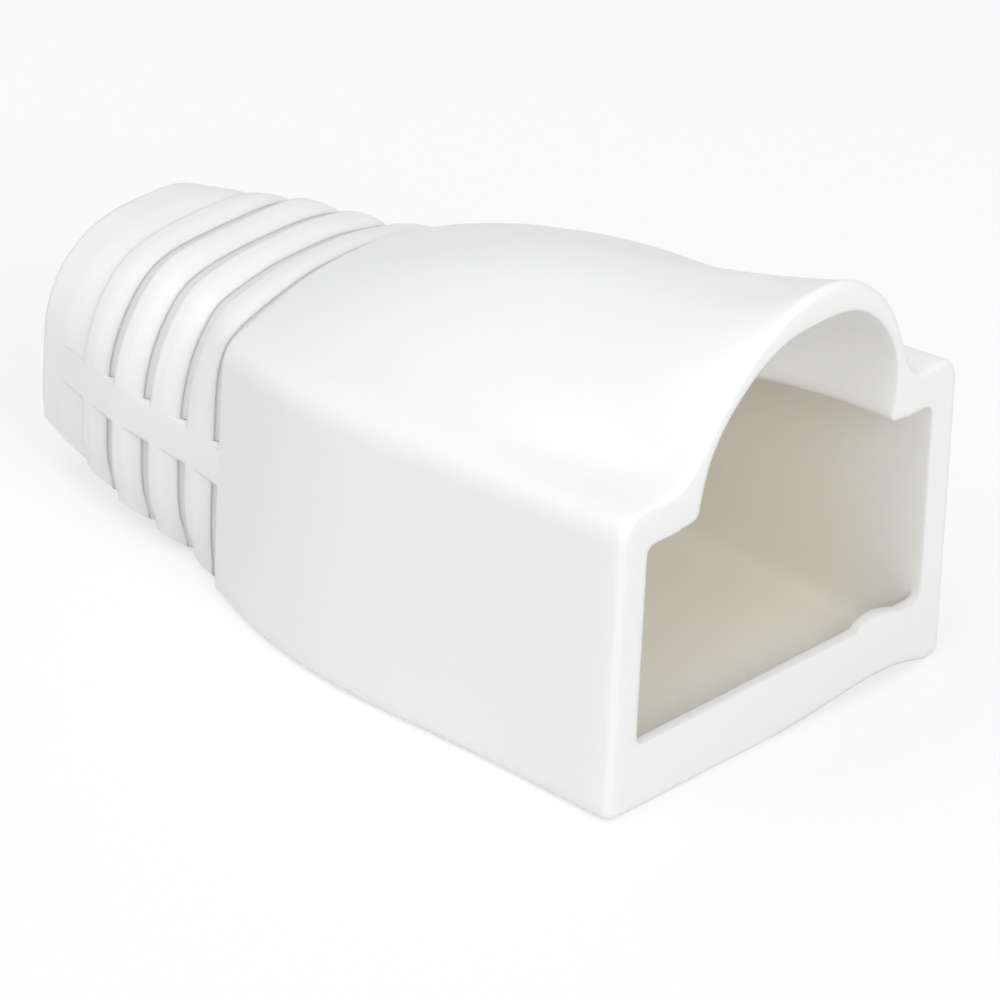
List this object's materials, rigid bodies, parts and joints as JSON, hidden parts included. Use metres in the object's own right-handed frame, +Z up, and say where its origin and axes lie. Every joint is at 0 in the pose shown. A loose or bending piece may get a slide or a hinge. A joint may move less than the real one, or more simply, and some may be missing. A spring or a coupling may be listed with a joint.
{
  "type": "rj45 strain relief boot",
  "caption": "Moulded slip-on boot for a modular network plug: square mouth with an arched latch hood and a slotted, tapering tail that grips a round cable.",
  "frame": {"origin": "middle of the length and width, on the plane of the underside", "axes": "+X towards the mouth that takes the plug, +Y across, +Z up towards the latch hood"},
  "size_m": [0.0248, 0.0142, 0.0138],
  "materials": {
    "boot_pvc": "satin soft PVC, slightly translucent"
  },
  "bodies": {
    "root": {"boot": "boot_pvc"}
  },
  "joints": []
}
